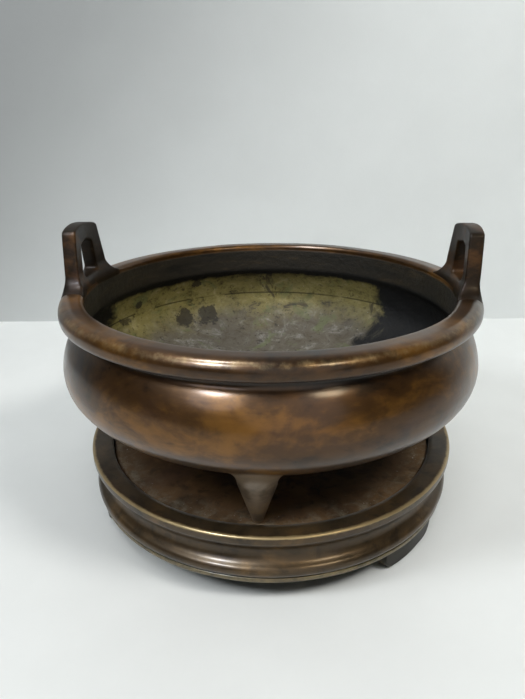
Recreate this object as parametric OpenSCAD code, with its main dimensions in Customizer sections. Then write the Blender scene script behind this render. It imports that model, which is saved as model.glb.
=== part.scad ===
// Tripod incense burner of cast bronze on its own round bronze stand.
// Millimetres, +Z up. The origin is on the ground, on the axis of the bowl.
// The two loop handles stand on the X axis and one of the three legs points to -Y, the front.

/* [Stand] */
// How much narrower than the bowl the stand's flange is, in diameter
stand_less = 12.4; // [4:0.2:24]
// Height of the flange's top edge above the ground
stand_h = 29.7; // [26:0.1:40]
// Width of the flange from its edge to the round recess
flange_w = 8.6; // [7:0.1:12]
// Fall of the flange from its outer edge to the recess
flange_fall = 1.3; // [0.5:0.1:2]
// Depth of the deck below the edge of the recess
deck_drop = 1.7; // [1:0.1:3]
// Thickness of the deck plate
deck_t = 2; // [1.5:0.1:3]
// Thickness of the ring under the moulded side
base_t = 1.9; // [1.6:0.1:3]
// Height of the bracket feet
bracket_h = 9.2; // [7:0.1:12]
// Angle that each bracket foot spans, in degrees
bracket_span = 24; // [18:1:36]
// Direction of the first bracket foot, in degrees from +X
bracket_turn = -40; // [-180:5:180]

/* [Bowl] */
// Outer diameter of the bowl at its widest
belly_d = 170.4; // [140:0.2:210]
// Height of the bowl from its underside to the top of the lip
bowl_h = 58.3; // [48:0.1:72]
// Gap between the deck and the underside of the bowl
bowl_lift = 10.2; // [8:0.1:14]
// Thickness of the bowl's wall
wall_t = 4.8; // [4:0.1:6]
// Height of the widest line above the bowl's underside, as a share of the bowl's height
belly_share = 0.53; // [0.45:0.01:0.6]
// Fullness of the lower curve, 2 is an ellipse and more is squarer
lower_fullness = 2.17; // [2:0.01:3]
// Fullness of the shoulder
shoulder_fullness = 1.71; // [1.4:0.01:2.4]

/* [Lip] */
// How much narrower than the belly the lip is, in diameter
rim_less = 2; // [0:0.2:8]
// Radius of the lip's rounded upper edge
lip_roll_r = 4.2; // [3.5:0.1:4.8]
// Thickness of the lip
lip_t = 7; // [6.8:0.1:9]
// Width of the lip from the inner edge to the outer edge
lip_w = 9; // [8.4:0.1:11]
// Inset of the neck from the outer edge of the lip
neck_inset = 6.2; // [5.6:0.1:7]

/* [Handles] */
// Height of the handles above the lip
handle_h = 23.8; // [18:0.1:34]
// Width of a handle at its shoulders
handle_top_w = 23.6; // [19:0.1:26]
// Width of a handle at its foot
handle_base_w = 31.5; // [26:0.1:40]
// Thickness of a handle
handle_t = 5.6; // [4.5:0.1:6.4]
// Rise of the arched top above its shoulders
handle_arch = 1.6; // [1:0.1:3]
// Radius of the fillets at the handle's foot
handle_fillet = 7; // [4:0.5:8]
// Width of a side post at the foot of the opening
post_foot_w = 8.2; // [6:0.1:9]
// Width of a side post at the head of the opening
post_head_w = 5.5; // [4.5:0.1:6]

/* [Legs] */
// Distance of each leg's axis from the edge of the recess
leg_inset = 3.9; // [3.5:0.1:10]
// Radius of a leg's point
leg_tip_r = 2; // [1.5:0.1:3]
// Radius of a leg at its root
leg_root_r = 8.2; // [6:0.1:9]
// Radius of the hollow flare round the root
leg_flare_r = 4.2; // [2:0.1:5]
// Radius of the spigot that holds a leg
spigot_r = 2.5; // [2:0.1:3]

/* [Hidden] */
$fn = 180;
curve_steps = 32;
joint_gap = 0.05;
rest_gap = 0.1;
beyond = 1;

// Heights
recess_z = stand_h - flange_fall;
deck_z = recess_z - deck_drop;
base_z = bracket_h + base_t;
bowl_z = deck_z + bowl_lift;
rim_z = bowl_z + bowl_h;
belly_z = bowl_z + belly_share * bowl_h;

// Stand
stand_r = (belly_d - stand_less) / 2;
recess_r = stand_r - flange_w;
flange_edge = 3.4;
flange_soft = 0.6;
ledge_w = 4.5;
ledge_t = 2.4;
ledge_z = deck_z - deck_t - ledge_t;
flange_low_z = stand_h - flange_edge;
mould_h = flange_low_z - base_z;
mould_slope = 62;
bulge_r = mould_h * 0.17;
bulge_x = stand_r - 0.5 - bulge_r;
bulge_z = base_z + bulge_r * 0.94;
cove_r = mould_h * 0.31;
cove_x = bulge_x + (bulge_r + cove_r) * cos(mould_slope);
cove_z = bulge_z + (bulge_r + cove_r) * sin(mould_slope);
hollow_r = flange_low_z - cove_z;
hollow_x = cove_x - cove_r + hollow_r;
base_r = stand_r - 1.3;
base_soft = 0.5;
base_w = 11;
bracket_out = base_r - 1.3;
bracket_t = 5;
bracket_corner = min(5.5, bracket_h * 0.55);
peg_r = 1.5;
peg_turn = bracket_span / 4;

// Bowl
belly_r = belly_d / 2;
rim_r = (belly_d - rim_less) / 2;
lip_low_z = rim_z - lip_t;
lip_under_r = 1.5;
lip_soft = 1.3;
neck_r = rim_r - neck_inset;
throat_r = rim_r - lip_w - 0.6;
neck_low_z = lip_low_z - 8;
shoulder_top_z = lip_low_z - 1.9;
shoulder_top_r = neck_r - 4;
inner_top_z = shoulder_top_z - 5.3;
inner_top_r = throat_r - 0.5;
inner_wide_z = belly_z - 1.5;
inner_r = belly_r - wall_t;
inner_z = bowl_z + wall_t;

// Handles
handle_in_r = throat_r + 1.8;
handle_out_r = handle_in_r + handle_t;
shoulder_z = rim_z + handle_h - handle_arch;
opening_z = rim_z + 2.8;
opening_top_z = rim_z + handle_h * 0.68;
opening_foot_w = handle_base_w - 2 * post_foot_w;
opening_head_w = handle_top_w - 2 * post_head_w;
opening_arch = 1;
opening_corner = 1.6;
tenon_w = handle_base_w * 0.55;
tenon_t = handle_t * 0.6;
tenon_depth = 4;

// Legs
leg_circle_r = recess_r - leg_inset;
leg_top_z = lower_curve_z(leg_circle_r);
leg_slope = atan((lower_curve_z(leg_circle_r + 1) - lower_curve_z(leg_circle_r - 1)) / 2);
collar_tilt = leg_slope * 1.05;
collar_sunk = 1.2;
collar_r = leg_root_r - (leg_root_r - leg_tip_r) * leg_flare_r / (leg_top_z - deck_z);
spigot_depth = wall_t * 0.6;

// Height of the bowl's outer surface below the widest line, at radius r
function lower_curve_z(r) =
    belly_z - (belly_z - bowl_z) * pow(1 - pow(r / belly_r, lower_fullness), 1 / lower_fullness);

// Quarter of a rounded curve from [r_wide, z_wide] to [r_end, z_end]
function rounded_quarter(r_wide, z_wide, r_end, z_end, fullness) = [
    for (i = [0:curve_steps])
        let (a = 90 * i / curve_steps)
        [
            r_end + (r_wide - r_end) * pow(cos(a), 2 / fullness),
            z_wide + (z_end - z_wide) * pow(sin(a), 2 / fullness)
        ]
];

// Points of an arc about [x, y] from angle a1 to angle a2
function arc(x, y, r, a1, a2, steps = 12) = [
    for (i = [0:steps])
        let (a = a1 + (a2 - a1) * i / steps)
        [x + r * cos(a), y + r * sin(a)]
];

// Half section of the belly: lower curve, widest line and shoulder
module belly_section(wide_r, wide_z, low_z, top_r, top_z) {
    lower = rounded_quarter(wide_r, wide_z, 0, low_z, lower_fullness);
    shoulder = rounded_quarter(wide_r, wide_z, top_r, top_z, shoulder_fullness);
    rising = [for (i = [0:curve_steps - 1]) lower[curve_steps - i]];
    polygon(concat(rising, shoulder, [[0, top_z]]));
}

module square_between(x1, x2, y1, y2) {
    translate([x1, y1]) square([x2 - x1, y2 - y1]);
}

// Half section of the bowl filled solid, with its neck and rolled lip
module solid_section() {
    belly_section(belly_r, belly_z, bowl_z, shoulder_top_r, shoulder_top_z);
    square_between(0, neck_r, neck_low_z, rim_z - lip_roll_r);
    polygon(concat(
        [[0, lip_low_z]],
        arc(rim_r - lip_under_r, lip_low_z + lip_under_r, lip_under_r, 270, 360, 8),
        arc(rim_r - lip_roll_r, rim_z - lip_roll_r, lip_roll_r, 0, 90, 16),
        [[0, rim_z]]
    ));
}

// Half section of the hollow, with a softened edge at the mouth
module cavity_section() {
    soft_x = throat_r + lip_soft;
    soft_z = rim_z - lip_soft;
    belly_section(inner_r, inner_wide_z, inner_z, inner_top_r, inner_top_z);
    square_between(0, throat_r, inner_top_z - 3, rim_z + beyond);
    difference() {
        square_between(0, soft_x, soft_z, rim_z + beyond);
        translate([soft_x, soft_z]) circle(lip_soft);
    }
}

module solid_bowl() {
    rotate_extrude() solid_section();
}

// Tenon of a handle, or with a gap the mortise that takes it
module tenon(gap = 0) {
    depth = tenon_depth + 4 * gap;
    translate([(handle_in_r + handle_out_r - tenon_t) / 2 - gap, -tenon_w / 2 - gap, rim_z - depth])
        cube([tenon_t + 2 * gap, tenon_w + 2 * gap, depth + beyond]);
}

// Spigot of a leg, or with a gap the blind hole that takes it
module spigot(gap = 0) {
    translate([leg_circle_r, 0, leg_top_z - leg_root_r])
        cylinder(r = spigot_r + gap, h = leg_root_r + spigot_depth + 2 * gap);
}

module bowl() {
    color("#5a3c1e") difference() {
        rotate_extrude() difference() {
            solid_section();
            cavity_section();
        }
        for (turn = [0, 180]) rotate(turn) tenon(joint_gap);
        for (turn = [-90, 30, 150]) rotate(turn) spigot(joint_gap);
    }
}

// Outline of a handle across its width, with the arched top and the flared foot
module handle_outline() {
    top = handle_top_w / 2;
    base = handle_base_w / 2;
    fillet_z = rim_z + handle_fillet;
    crown_r = (top * top + handle_arch * handle_arch) / (2 * handle_arch);
    crown_a = asin(top / crown_r);
    crown = arc(0, shoulder_z + handle_arch - crown_r, crown_r, 90 - crown_a, 90 + crown_a);
    right_foot = arc(base + handle_fillet, fillet_z, handle_fillet, 270, 180);
    left_foot = arc(-base - handle_fillet, fillet_z, handle_fillet, 0, -90);
    foot_z = rim_z - lip_roll_r;
    polygon(concat(
        [[-base - handle_fillet, foot_z], [base + handle_fillet, foot_z]],
        right_foot, crown, left_foot
    ));
}

// Outline of the opening, narrower at its arched head
module opening_outline() {
    head = opening_head_w / 2;
    foot = opening_foot_w / 2;
    corner = opening_corner;
    polygon(concat(
        arc(-foot + corner, opening_z + corner, corner, 180, 270, 6),
        arc(foot - corner, opening_z + corner, corner, 270, 360, 6),
        arc(head - corner, opening_top_z - corner, corner, 0, 70, 6),
        [[0, opening_top_z + opening_arch]],
        arc(-head + corner, opening_top_z - corner, corner, 110, 180, 6)
    ));
}

// Loop handle on +X, curved to follow the lip
module handle() {
    color("#45301c") {
        difference() {
            intersection() {
                rotate_extrude() square_between(handle_in_r, handle_out_r, rim_z - lip_roll_r, rim_z + handle_h + beyond);
                rotate([90, 0, 90]) linear_extrude(rim_r + beyond) handle_outline();
            }
            rotate([90, 0, 90]) linear_extrude(rim_r + beyond) opening_outline();
            solid_bowl();
        }
        intersection() {
            tenon();
            solid_bowl();
        }
    }
}

// Hollow flare that leads a leg into the bowl, square to the bowl's surface
module collar() {
    translate([leg_circle_r - leg_flare_r * sin(collar_tilt) / 2, 0, leg_top_z])
        rotate([0, -collar_tilt, 0]) translate([0, 0, collar_sunk]) rotate_extrude() difference() {
            square_between(0, collar_r + leg_flare_r, -leg_flare_r, leg_root_r / 2);
            translate([collar_r + leg_flare_r, -leg_flare_r]) circle(leg_flare_r);
        }
}

// Conical leg on +X with its spigot
module leg() {
    tip_z = deck_z + rest_gap;
    color("#4a3a26") {
        difference() {
            union() {
                translate([leg_circle_r, 0, tip_z])
                    cylinder(r1 = leg_tip_r, r2 = leg_root_r, h = leg_top_z - tip_z);
                translate([leg_circle_r, 0, leg_top_z]) cylinder(r = leg_root_r, h = leg_root_r);
                collar();
            }
            solid_bowl();
        }
        intersection() {
            translate([0, 0, -joint_gap]) spigot();
            solid_bowl();
        }
    }
}

// Half section of the moulded side: bulge, cove, hollow under the flange, recess and the deck's ledge
module ring_section() {
    bulge_start = -asin((bulge_z - base_z) / bulge_r);
    hollow_end = acos((stand_r - flange_soft - hollow_x) / hollow_r);
    bulge = arc(bulge_x, bulge_z, bulge_r, bulge_start, mould_slope, 18);
    cove = arc(cove_x, cove_z, cove_r, mould_slope + 180, 180, 8);
    hollow = arc(hollow_x, cove_z, hollow_r, 170, hollow_end, 10);
    polygon(concat(
        [[recess_r, base_z]],
        bulge,
        cove,
        hollow,
        [
            [stand_r, flange_low_z + flange_soft], [stand_r, stand_h - flange_soft],
            [stand_r - flange_soft, stand_h], [recess_r, recess_z], [recess_r, deck_z - deck_t],
            [recess_r - ledge_w, deck_z - deck_t], [recess_r - ledge_w, ledge_z], [recess_r, ledge_z]
        ]
    ));
}

module stand_ring() {
    color("#3a2c1a") rotate_extrude() ring_section();
}

module deck_plate() {
    color("#3b2818")
        translate([0, 0, deck_z - deck_t]) cylinder(r = recess_r - 0.4, h = deck_t);
}

// Pegs of a bracket foot on +X, or with a gap the holes that take them
module pegs(gap = 0) {
    for (turn = [-peg_turn, peg_turn])
        rotate(turn) translate([bracket_out - bracket_t / 2, 0, bracket_h - 3])
            cylinder(r = peg_r + gap, h = 3 + base_t * 0.8 + gap, $fn = 48);
}

module base_ring() {
    color("#4d4532") difference() {
        rotate_extrude() difference() {
            square_between(base_r - base_w, base_r, bracket_h, base_z);
            for (corner_z = [bracket_h, base_z])
                translate([base_r, corner_z]) rotate(45) square(base_soft * sqrt(2), center = true);
        }
        for (turn = [0, 120, 240]) rotate(bracket_turn + turn) pegs(joint_gap);
    }
}

// Bracket foot on +X with rounded lower corners, curved to follow the stand
module bracket() {
    half_w = bracket_out * sin(bracket_span / 2);
    color("#39352a") {
        intersection() {
            rotate_extrude() square_between(bracket_out - bracket_t, bracket_out, 0, bracket_h);
            rotate([90, 0, 90]) linear_extrude(stand_r) polygon(concat(
                [[half_w, bracket_h], [-half_w, bracket_h]],
                arc(-half_w + bracket_corner, bracket_corner, bracket_corner, 180, 270),
                arc(half_w - bracket_corner, bracket_corner, bracket_corner, 270, 360)
            ));
        }
        translate([0, 0, -joint_gap]) pegs();
    }
}

module left_handle() {
    rotate(180) handle();
}

module right_handle() {
    handle();
}

module front_leg() {
    rotate(-90) leg();
}

module right_leg() {
    rotate(30) leg();
}

module left_leg() {
    rotate(150) leg();
}

module right_bracket() {
    rotate(bracket_turn) bracket();
}

module rear_bracket() {
    rotate(bracket_turn + 120) bracket();
}

module left_bracket() {
    rotate(bracket_turn + 240) bracket();
}

bowl();
left_handle();
right_handle();
front_leg();
right_leg();
left_leg();
stand_ring();
deck_plate();
base_ring();
right_bracket();
rear_bracket();
left_bracket();
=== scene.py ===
"""Cast bronze tripod incense burner on its round moulded stand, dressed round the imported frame.

Lengths in the classes are millimetres and MM turns them into metres. The bowl's axis is the
Z axis, the loop handles stand on the X axis and the front leg points to -Y.
"""
import logging
import math
from dataclasses import dataclass, field
from enum import Enum
from typing import Callable, Optional, Sequence, Union

import bmesh
import bpy
from mathutils import Matrix, Vector, noise


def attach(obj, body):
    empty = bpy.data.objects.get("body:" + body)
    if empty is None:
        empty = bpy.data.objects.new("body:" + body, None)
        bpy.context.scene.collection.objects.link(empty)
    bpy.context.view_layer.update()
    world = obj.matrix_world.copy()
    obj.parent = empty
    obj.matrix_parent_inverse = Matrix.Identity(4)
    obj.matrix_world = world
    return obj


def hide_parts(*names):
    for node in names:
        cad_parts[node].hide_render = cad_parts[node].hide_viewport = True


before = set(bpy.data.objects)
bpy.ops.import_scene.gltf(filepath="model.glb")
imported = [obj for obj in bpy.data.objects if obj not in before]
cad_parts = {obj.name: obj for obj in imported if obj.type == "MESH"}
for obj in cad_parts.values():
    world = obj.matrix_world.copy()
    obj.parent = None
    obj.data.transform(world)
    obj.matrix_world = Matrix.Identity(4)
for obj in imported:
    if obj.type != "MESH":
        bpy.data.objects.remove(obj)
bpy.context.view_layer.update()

LOG = logging.getLogger("incense_burner")
MM = 0.001

Point = tuple[float, float]
Colour = tuple[float, float, float]
Vec3 = tuple[float, float, float]
Socket = bpy.types.NodeSocket
Input = Union[float, Socket]
Paint = Union[Colour, Socket]


class Body(Enum):
    """The two bodies of the frame that pieces ride on."""

    STAND = "stand"
    CENSER = "censer"


def srgb(red: int, green: int, blue: int) -> Colour:
    """Turns a display colour into a linear one.

    Args:
        red: Red, 0 to 255.
        green: Green, 0 to 255.
        blue: Blue, 0 to 255.

    Returns:
        The colour as linear light.
    """
    def linear(value: float) -> float:
        """One channel from display value to linear light."""
        share = value / 255
        return share / 12.92 if share <= 0.04045 else ((share + 0.055) / 1.055) ** 2.4

    return linear(red), linear(green), linear(blue)


def smooth_step(value: float, low: float, high: float) -> float:
    """Rises smoothly from 0 at low to 1 at high.

    Args:
        value: The value to place.
        low: Where the rise starts.
        high: Where the rise ends.

    Returns:
        A number from 0 to 1.
    """
    share = min(1.0, max(0.0, (value - low) / (high - low)))
    return share * share * (3 - 2 * share)


def arc(x: float, z: float, radius: float, start: float, end: float, steps: int) -> list[Point]:
    """Points of an arc.

    Args:
        x: Centre, across.
        z: Centre, up.
        radius: Radius of the arc.
        start: First angle in degrees.
        end: Last angle in degrees.
        steps: Number of equal steps.

    Returns:
        steps + 1 points.
    """
    turns = [math.radians(start + (end - start) * i / steps) for i in range(steps + 1)]
    return [(x + radius * math.cos(a), z + radius * math.sin(a)) for a in turns]


def rounded_quarter(wide: Point, end: Point, fullness: float, steps: int) -> list[Point]:
    """A quarter of a rounded curve, upright where it is widest.

    Args:
        wide: Radius and height of the widest point.
        end: Radius and height of the other end.
        fullness: 2 is an ellipse and more is squarer.
        steps: Number of steps.

    Returns:
        steps + 1 points from the widest point to the end.
    """
    points = []
    for i in range(steps + 1):
        a = math.pi / 2 * i / steps
        across = max(0.0, math.cos(a)) ** (2 / fullness)
        up = math.sin(a) ** (2 / fullness)
        points.append((end[0] + (wide[0] - end[0]) * across, wide[1] + (end[1] - wide[1]) * up))
    return points


def spaced(path: Sequence[Point], gap: float) -> list[Point]:
    """Puts points at even distances along a path.

    Args:
        path: The path.
        gap: The wanted distance between points.

    Returns:
        The evenly spaced points, both ends among them.
    """
    reach = [0.0]
    for a, b in zip(path, path[1:]):
        reach.append(reach[-1] + math.dist(a, b))
    count = max(1, round(reach[-1] / gap))
    out, k = [], 0
    for i in range(count + 1):
        want = reach[-1] * i / count
        while k < len(path) - 2 and reach[k + 1] < want:
            k += 1
        span = reach[k + 1] - reach[k] or 1.0
        share = (want - reach[k]) / span
        out.append(tuple(p + (q - p) * share for p, q in zip(path[k], path[k + 1])))
    return out


def eased(path: list[Point], rounds: int, keep: Callable[[Point], bool] = lambda p: False,
          loop: bool = False) -> list[Point]:
    """Softens the corners of an evenly spaced path.

    Args:
        path: The path.
        rounds: How many times each point moves towards its neighbours.
        keep: Says which points stay where they are.
        loop: True if the path closes on itself.

    Returns:
        The softened path.
    """
    points = list(path)
    for _ in range(rounds):
        before = points[-1:] + points[:-1]
        after = points[1:] + points[:1]
        moved = [
            tuple(0.25 * a + 0.5 * p + 0.25 * b for a, p, b in zip(*three))
            for three in zip(before, points, after)
        ]
        if not loop:
            moved[0], moved[-1] = points[0], points[-1]
        points = [p if keep(p) else m for p, m in zip(points, moved)]
    return points


def wobble(place: Vector, size: float, amount: float) -> float:
    """Slow unevenness of a casting.

    Args:
        place: Where, in millimetres.
        size: Length of one wave in millimetres.
        amount: Largest height in millimetres.

    Returns:
        A height in millimetres.
    """
    return amount * noise.noise(place / size)


class Skin:
    """Collects the corners and faces of one closed piece, with how worn and how lined each is."""

    def __init__(self, name: str) -> None:
        """Starts an empty piece.

        Args:
            name: Name of the piece.
        """
        self.name = name
        self.corners: list[Vector] = []
        self.faces: list[tuple[int, ...]] = []
        self.marks: dict[str, list[float]] = {"wear": [], "lining": []}

    def corner(self, place: Vector, wear: float = 0.0, lining: float = 0.0) -> int:
        """Adds a corner.

        Args:
            place: Where, in millimetres.
            wear: How rubbed the metal is there, 0 to 1.
            lining: How far it belongs to the inside of the bowl, 0 to 1.

        Returns:
            The corner's number.
        """
        self.corners.append(Vector(place))
        self.marks["wear"].append(wear)
        self.marks["lining"].append(lining)
        return len(self.corners) - 1

    def band(self, low: Sequence[int], high: Sequence[int]) -> None:
        """Joins two closed rings of corners with faces.

        Args:
            low: Corners of the first ring, or a single corner.
            high: Corners of the next ring, or a single corner.
        """
        count = max(len(low), len(high))
        for i in range(count):
            j = (i + 1) % count
            corners = [low[i % len(low)], low[j % len(low)], high[j % len(high)], high[i % len(high)]]
            face = tuple(dict.fromkeys(corners))
            if len(face) > 2:
                self.faces.append(face)

    def build(self, finish: "Finish", body: Body, slot: str, nodes: Sequence[str],
              sharp: float = 50.0) -> bpy.types.Object:
        """Makes the object, turns its faces outward, dresses it and sets it on its body.

        Args:
            finish: The finish it wears.
            body: The body it rides on.
            slot: Name of the record's material slot; not used.
            nodes: The CAD nodes it stands for.
            sharp: Edges that turn by more than this many degrees stay crisp.

        Returns:
            The finished object.
        """
        mesh = bpy.data.meshes.new(self.name)
        mesh.from_pydata([c * MM for c in self.corners], [], self.faces)
        mesh.update()
        if signed_volume(mesh) < 0:
            mesh.flip_normals()
        for mark, values in self.marks.items():
            layer = mesh.attributes.new(mark, "FLOAT", "POINT")
            layer.data.foreach_set("value", values)
        mesh.shade_smooth()
        mesh.set_sharp_from_angle(angle=math.radians(sharp))
        mesh.materials.append(finish.material())
        made = bpy.data.objects.new(self.name, mesh)
        bpy.context.scene.collection.objects.link(made)
        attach(made, body.value)
        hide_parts(*nodes)
        LOG.info("%s: %d corners, %d faces, on %s", self.name, len(self.corners),
                 len(self.faces), body.value)
        return made


def signed_volume(mesh: bpy.types.Mesh) -> float:
    """Volume inside a mesh, below zero if its faces look inward.

    Args:
        mesh: A closed mesh.

    Returns:
        The volume with its sign.
    """
    total = 0.0
    for face in mesh.polygons:
        places = [mesh.vertices[v].co for v in face.vertices]
        for b, c in zip(places[1:], places[2:]):
            total += places[0].dot(b.cross(c)) / 6
    return total


def turned(name: str, section: Sequence[Point], steps: int, loop: bool,
           wear: Callable[[Point], float] = lambda p: 0.0,
           lining: Sequence[float] = (),
           push: Callable[[Vector, float], float] = lambda p, l: 0.0) -> Skin:
    """Turns a section round the Z axis.

    Args:
        name: Name of the piece.
        section: Radius and height of each point, in order.
        steps: Number of steps round the axis.
        loop: True if the section closes on itself, and False if both ends are on the axis.
        wear: How rubbed the metal is at a point of the section.
        lining: How far each point belongs to the inside, or nothing.
        push: How far a place stands out from the true shape, square to the section.

    Returns:
        The closed piece.
    """
    skin = Skin(name)
    rings = []
    last = len(section) - 1
    for k, (r, z) in enumerate(section):
        before = section[k - 1] if k or loop else section[k]
        after = section[(k + 1) % len(section)] if k < last or loop else section[k]
        along = Vector((after[0] - before[0], after[1] - before[1])).normalized()
        out = Vector((along.y, -along.x))
        mark = lining[k] if lining else 0.0
        if r < 1e-6:
            rings.append([skin.corner(Vector((0, 0, z)), wear((r, z)), mark)])
            continue
        ring = []
        for i in range(steps):
            a = 2 * math.pi * i / steps
            place = Vector((r * math.cos(a), r * math.sin(a), z))
            stand = push(place, mark)
            x, z2 = r + out.x * stand, z + out.y * stand
            ring.append(skin.corner(Vector((x * math.cos(a), x * math.sin(a), z2)),
                                    wear((r, z)), mark))
        rings.append(ring)
    for low, high in zip(rings, rings[1:]):
        skin.band(low, high)
    if loop:
        skin.band(rings[-1], rings[0])
    return skin


# ---------------------------------------------------------------- finishes


class Wiring:
    """Adds and joins the nodes of one material."""

    def __init__(self, name: str) -> None:
        """Starts a material with one shader and the object's coordinates.

        Args:
            name: Name of the material.
        """
        self.material = bpy.data.materials.new(name)
        self.material.use_nodes = True
        self.tree = self.material.node_tree
        self.tree.nodes.clear()
        output = self.tree.nodes.new("ShaderNodeOutputMaterial")
        self.shader = self.tree.nodes.new("ShaderNodeBsdfPrincipled")
        self.tree.links.new(self.shader.outputs["BSDF"], output.inputs["Surface"])
        self.place = self.tree.nodes.new("ShaderNodeTexCoord").outputs["Object"]
        split = self.node("ShaderNodeSeparateXYZ", Vector=self.place)
        self.x, self.y, self.z = split.outputs[0], split.outputs[1], split.outputs[2]
        self.radius = self.math("SQRT", self.math("ADD", self.math("MULTIPLY", self.x, self.x),
                                                  self.math("MULTIPLY", self.y, self.y)))

    def put(self, socket: Socket, value: Union[Input, Paint]) -> None:
        """Joins a socket to another, or sets its value.

        Args:
            socket: The input to fill.
            value: Another node's output, a number or a colour.
        """
        if isinstance(value, Socket):
            self.tree.links.new(value, socket)
        elif isinstance(value, tuple) and socket.type == "RGBA":
            socket.default_value = (*value, 1.0)
        else:
            socket.default_value = value

    def node(self, kind: str, **inputs: Union[Input, Paint]) -> bpy.types.Node:
        """Adds a node and fills its inputs.

        Args:
            kind: Type of the node.
            inputs: Values by input name, an underline standing for a space.

        Returns:
            The node.
        """
        made = self.tree.nodes.new(kind)
        for name, value in inputs.items():
            self.put(made.inputs[name.replace("_", " ")], value)
        return made

    def math(self, work: str, a: Input, b: Input = 0.0, clamp: bool = False) -> Socket:
        """One sum on numbers.

        Args:
            work: Name of the operation.
            a: First number.
            b: Second number.
            clamp: True keeps the result between 0 and 1.

        Returns:
            The result.
        """
        made = self.tree.nodes.new("ShaderNodeMath")
        made.operation, made.use_clamp = work, clamp
        self.put(made.inputs[0], a)
        self.put(made.inputs[1], b)
        return made.outputs[0]

    def rise(self, value: Input, low: float, high: float, floor: float = 0.0,
             top: float = 1.0) -> Socket:
        """Rises smoothly from one number to another.

        Args:
            value: The number that drives it.
            low: Where the rise starts.
            high: Where the rise ends.
            floor: The result up to low.
            top: The result from high on.

        Returns:
            The result.
        """
        made = self.tree.nodes.new("ShaderNodeMapRange")
        made.interpolation_type = "SMOOTHSTEP"
        for socket, number in zip(made.inputs, (value, low, high, floor, top)):
            self.put(socket, number)
        return made.outputs[0]

    def band(self, value: Input, middle: float, half: float, soft: float) -> Socket:
        """Marks a band of a number's range.

        Args:
            value: The number.
            middle: Middle of the band.
            half: Half of its width.
            soft: Width of its soft edge.

        Returns:
            1 in the band and 0 beyond its soft edge.
        """
        off = self.math("ABSOLUTE", self.math("SUBTRACT", value, middle))
        return self.rise(off, half, half + soft, 1.0, 0.0)

    def stretched(self, x: float, y: float, z: float) -> Socket:
        """Scales the place, so that a pattern runs longer one way.

        Args:
            x: Share of X.
            y: Share of Y.
            z: Share of Z.

        Returns:
            The scaled place.
        """
        made = self.tree.nodes.new("ShaderNodeVectorMath")
        made.operation = "MULTIPLY"
        self.put(made.inputs[0], self.place)
        made.inputs[1].default_value = (x, y, z)
        return made.outputs[0]

    def cloud(self, size: float, detail: float = 4.0, roughness: float = 0.55,
              twist: float = 0.0, place: Optional[Socket] = None) -> Socket:
        """Soft random patches.

        Args:
            size: Size of a patch in millimetres.
            detail: Number of finer layers.
            roughness: Strength of the finer layers.
            twist: How far the patches are pulled about.
            place: Coordinates, or nothing for the object's own.

        Returns:
            A number of about 0.5, mostly from 0.25 to 0.75.
        """
        made = self.node("ShaderNodeTexNoise", Vector=place or self.place, Scale=1 / (size * MM),
                         Detail=detail, Roughness=roughness, Distortion=twist)
        return made.outputs["Fac"]

    def mix(self, share: Input, a: Paint, b: Paint, way: str = "MIX") -> Socket:
        """Mixes two colours.

        Args:
            share: How much of the second.
            a: First colour.
            b: Second colour.
            way: Blend mode.

        Returns:
            The mixed colour.
        """
        made = self.tree.nodes.new("ShaderNodeMix")
        made.data_type, made.blend_type = "RGBA", way
        self.put(made.inputs[0], share)
        self.put(made.inputs[6], a)
        self.put(made.inputs[7], b)
        return made.outputs[2]

    def ramp(self, value: Input, stops: Sequence[tuple[float, Colour]]) -> Socket:
        """Colours a number.

        Args:
            value: The number.
            stops: Places from 0 to 1, each with its colour.

        Returns:
            The colour.
        """
        made = self.node("ShaderNodeValToRGB", Fac=value)
        made.color_ramp.interpolation = "EASE"
        marks = made.color_ramp.elements
        while len(marks) < len(stops):
            marks.new(0.5)
        for mark, (place, colour) in zip(marks, stops):
            mark.position = place
            mark.color = (*colour, 1.0)
        return made.outputs["Color"]

    def mark(self, name: str) -> Socket:
        """Reads a number that the piece carries at each corner.

        Args:
            name: Name of the number.

        Returns:
            The number.
        """
        made = self.tree.nodes.new("ShaderNodeAttribute")
        made.attribute_name = name
        return made.outputs["Fac"]

    def bump(self, layers: Sequence[tuple[Input, float]]) -> None:
        """Adds heights to the surface.

        Args:
            layers: Each height, 0 to 1, with its depth in millimetres.
        """
        normal = None
        for height, depth in layers:
            made = self.node("ShaderNodeBump", Height=height, Distance=depth * MM, Strength=1.0)
            if normal is not None:
                self.put(made.inputs["Normal"], normal)
            normal = made.outputs["Normal"]
        self.put(self.shader.inputs["Normal"], normal)

    def set(self, **values: Union[Input, Paint]) -> None:
        """Fills inputs of the shader.

        Args:
            values: Values by input name, an underline standing for a space.
        """
        for name, value in values.items():
            self.put(self.shader.inputs[name.replace("_", " ")], value)


@dataclass(frozen=True)
class Finish:
    """A finish with a name, which makes its material once."""

    name: str = "finish"

    def material(self) -> bpy.types.Material:
        """Makes the material the first time, and finds it again later.

        Returns:
            The finish's material.
        """
        known = bpy.data.materials.get(self.name)
        if known:
            return known
        wiring = Wiring(self.name)
        self.wire(wiring)
        return wiring.material

    def wire(self, wiring: Wiring) -> None:
        """Adds the finish's own nodes."""
        raise NotImplementedError


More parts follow.
